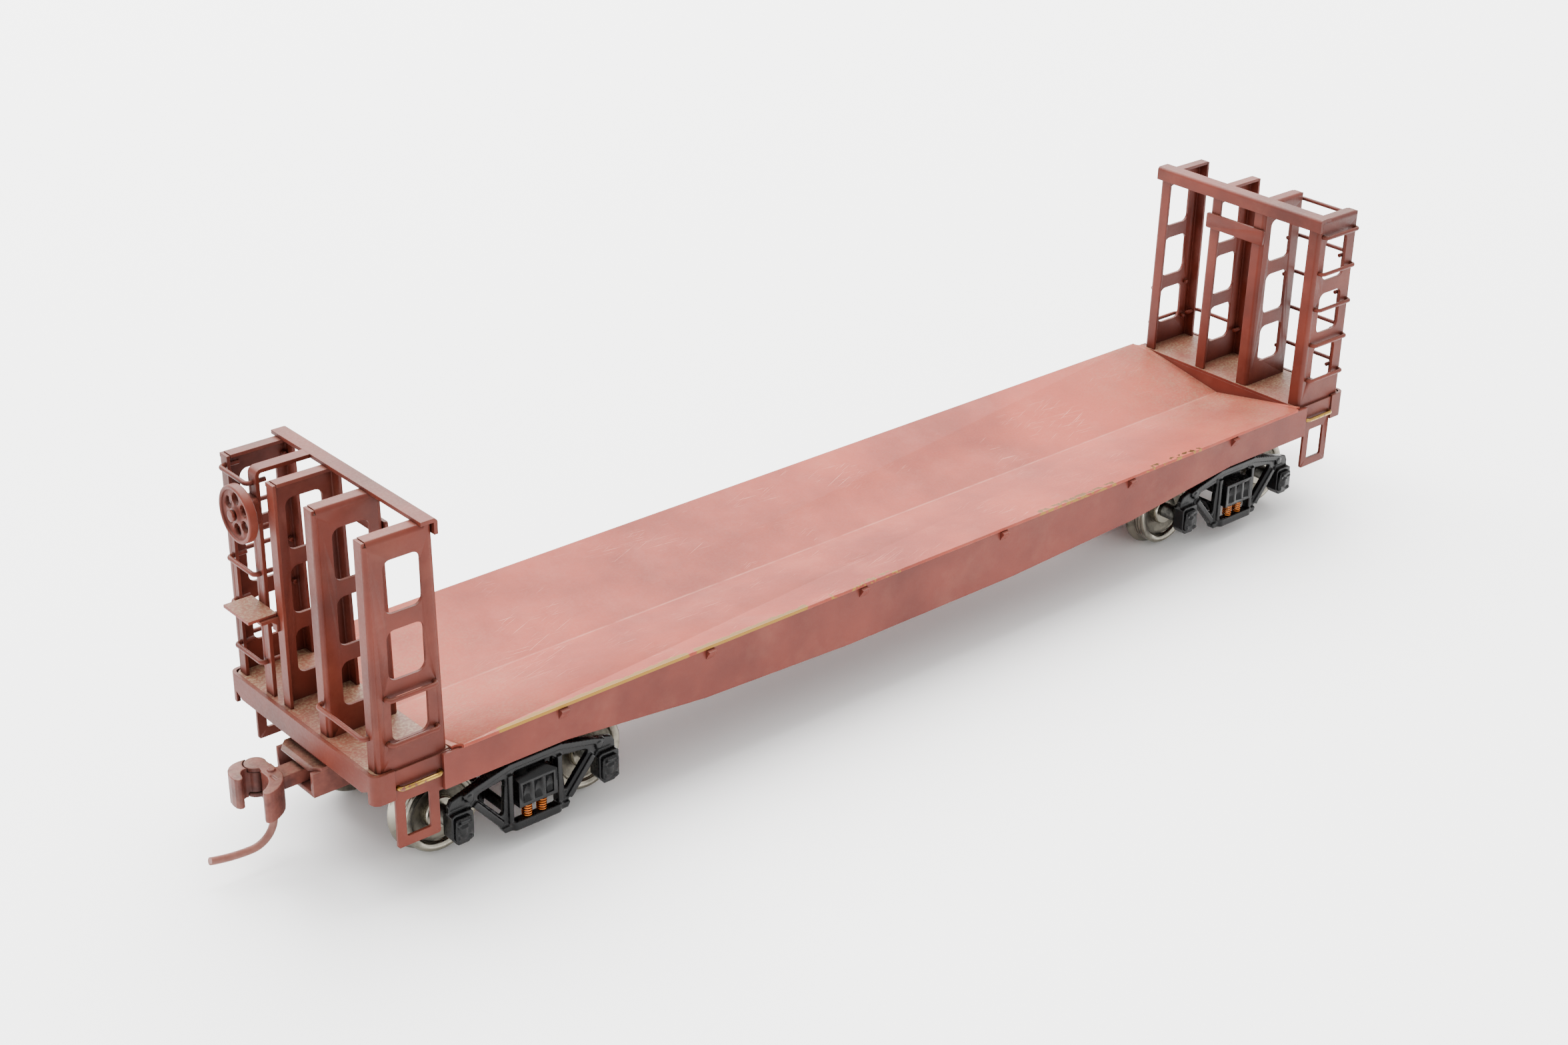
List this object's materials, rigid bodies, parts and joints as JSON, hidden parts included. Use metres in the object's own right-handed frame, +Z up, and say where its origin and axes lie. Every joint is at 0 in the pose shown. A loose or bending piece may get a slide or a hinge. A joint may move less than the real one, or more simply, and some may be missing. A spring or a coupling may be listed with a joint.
{
  "type": "model flat car",
  "caption": "HO scale bulkhead flat car with a shallow V deck, open post-and-beam bulkheads, ladders, a hand brake, sprung swivelling trucks and knuckle couplers.",
  "frame": {"origin": "bottom centre of the bounding box: under the middle of the car, level with the bottom of the wheel flanges", "axes": "X along the car with the hand-brake end at -X, Y across the car, +Z up"},
  "size_m": [0.1864, 0.0318, 0.0441],
  "materials": {
    "oxide_enamel": "satin",
    "underframe_enamel": "satin",
    "coupler_enamel": "satin",
    "trip_pin_enamel": "satin",
    "worn_brass_wire": "worn",
    "blackened_steel": "satin",
    "black_enamel": "gloss",
    "copper_wire": "satin",
    "nickel_silver": "satin"
  },
  "bodies": {
    "car": {"deck_sheet": "oxide_enamel", "side_sills": "oxide_enamel", "tie_cleats": "oxide_enamel", "center_sills": "underframe_enamel", "cross_bearers": "underframe_enamel", "body_bolsters": "underframe_enamel", "end_platforms": "oxide_enamel", "v_plates": "oxide_enamel", "end_sills": "oxide_enamel", "draft_blocks": "underframe_enamel", "step_panels": "oxide_enamel", "outer_posts": "oxide_enamel", "inner_posts": "oxide_enamel", "top_beams": "oxide_enamel", "name_boards": "oxide_enamel", "side_rungs": "oxide_enamel", "end_rungs": "oxide_enamel", "side_grabs": "oxide_enamel", "end_grabs": "oxide_enamel", "sill_grabs": "worn_brass_wire", "brake_strap": "oxide_enamel", "brake_housing": "oxide_enamel", "brake_shaft": "oxide_enamel", "brake_step": "oxide_enamel", "brake_brackets": "oxide_enamel", "coupler_boxes": "coupler_enamel", "coupler_lids": "coupler_enamel", "coupler_screws": "blackened_steel", "truck_screws": "blackened_steel"},
    "brake_wheel_body": {"brake_wheel": "oxide_enamel"},
    "coupler_body_a": {"coupler_a": "coupler_enamel", "trip_pin_a": "trip_pin_enamel"},
    "knuckle_body_a": {"knuckle_a": "coupler_enamel"},
    "truck_a": {"truck_bolster_a": "black_enamel", "truck_springs_a": "copper_wire"},
    "frames_a": {"side_frames_a": "black_enamel", "journal_lids_a": "black_enamel", "brake_beams_a": "black_enamel"},
    "wheelset_a_outer": {"wheels_a_outer": "nickel_silver", "axle_a_outer": "blackened_steel"},
    "wheelset_a_inner": {"wheels_a_inner": "nickel_silver", "axle_a_inner": "blackened_steel"},
    "coupler_body_b": {"coupler_b": "coupler_enamel", "trip_pin_b": "trip_pin_enamel"},
    "knuckle_body_b": {"knuckle_b": "coupler_enamel"},
    "truck_b": {"truck_bolster_b": "black_enamel", "truck_springs_b": "copper_wire"},
    "frames_b": {"side_frames_b": "black_enamel", "journal_lids_b": "black_enamel", "brake_beams_b": "black_enamel"},
    "wheelset_b_outer": {"wheels_b_outer": "nickel_silver", "axle_b_outer": "blackened_steel"},
    "wheelset_b_inner": {"wheels_b_inner": "nickel_silver", "axle_b_inner": "blackened_steel"}
  },
  "joints": [
    {"name": "coupler_a_swing", "type": "hinge", "parent": "car", "child": "coupler_body_a", "pos_m": [0.077, 0, 0.0105], "axis": [0, 0, 1], "range_deg": [-15, 15], "stiffness_Nm_per_rad": 0.0005},
    {"name": "knuckle_a_open", "type": "hinge", "parent": "coupler_body_a", "child": "knuckle_body_a", "pos_m": [0.0855, -0.00235, 0.0103], "axis": [0, 0, -1], "range_deg": [0, 25], "stiffness_Nm_per_rad": 0.00005},
    {"name": "truck_a_swivel", "type": "hinge", "parent": "car", "child": "truck_a", "pos_m": [0.0599, 0, 0.0104], "axis": [0, 0, 1], "range_deg": [-8, 8]},
    {"name": "frames_a_travel", "type": "slide", "parent": "truck_a", "child": "frames_a", "axis": [0, 0, 1], "range_m": [-0.0003, 0.0003], "stiffness_N_per_m": 1500, "springref_m": -0.0004, "deforming": ["truck_springs_a"]},
    {"name": "wheelset_a_outer_spin", "type": "hinge", "parent": "frames_a", "child": "wheelset_a_outer", "pos_m": [0.0699, 0, 0.00545], "axis": [0, 1, 0], "continuous": true},
    {"name": "wheelset_a_inner_spin", "type": "hinge", "parent": "frames_a", "child": "wheelset_a_inner", "pos_m": [0.0499, 0, 0.00545], "axis": [0, 1, 0], "continuous": true},
    {"name": "coupler_b_swing", "type": "hinge", "parent": "car", "child": "coupler_body_b", "pos_m": [-0.077, 0, 0.0105], "axis": [0, 0, 1], "range_deg": [-15, 15], "stiffness_Nm_per_rad": 0.0005},
    {"name": "knuckle_b_open", "type": "hinge", "parent": "coupler_body_b", "child": "knuckle_body_b", "pos_m": [-0.0855, 0.00235, 0.0103], "axis": [0, 0, -1], "range_deg": [0, 25], "stiffness_Nm_per_rad": 0.00005},
    {"name": "truck_b_swivel", "type": "hinge", "parent": "car", "child": "truck_b", "pos_m": [-0.0599, 0, 0.0104], "axis": [0, 0, 1], "range_deg": [-8, 8]},
    {"name": "frames_b_travel", "type": "slide", "parent": "truck_b", "child": "frames_b", "axis": [0, 0, 1], "range_m": [-0.0003, 0.0003], "stiffness_N_per_m": 1500, "springref_m": -0.0004, "deforming": ["truck_springs_b"]},
    {"name": "wheelset_b_outer_spin", "type": "hinge", "parent": "frames_b", "child": "wheelset_b_outer", "pos_m": [-0.0699, 0, 0.00545], "axis": [0, 1, 0], "continuous": true},
    {"name": "wheelset_b_inner_spin", "type": "hinge", "parent": "frames_b", "child": "wheelset_b_inner", "pos_m": [-0.0499, 0, 0.00545], "axis": [0, 1, 0], "continuous": true},
    {"name": "brake_wheel_spin", "type": "hinge", "parent": "car", "child": "brake_wheel_body", "pos_m": [-0.0819, 0.0074, 0.0394], "axis": [1, 0, 0], "continuous": true}
  ]
}
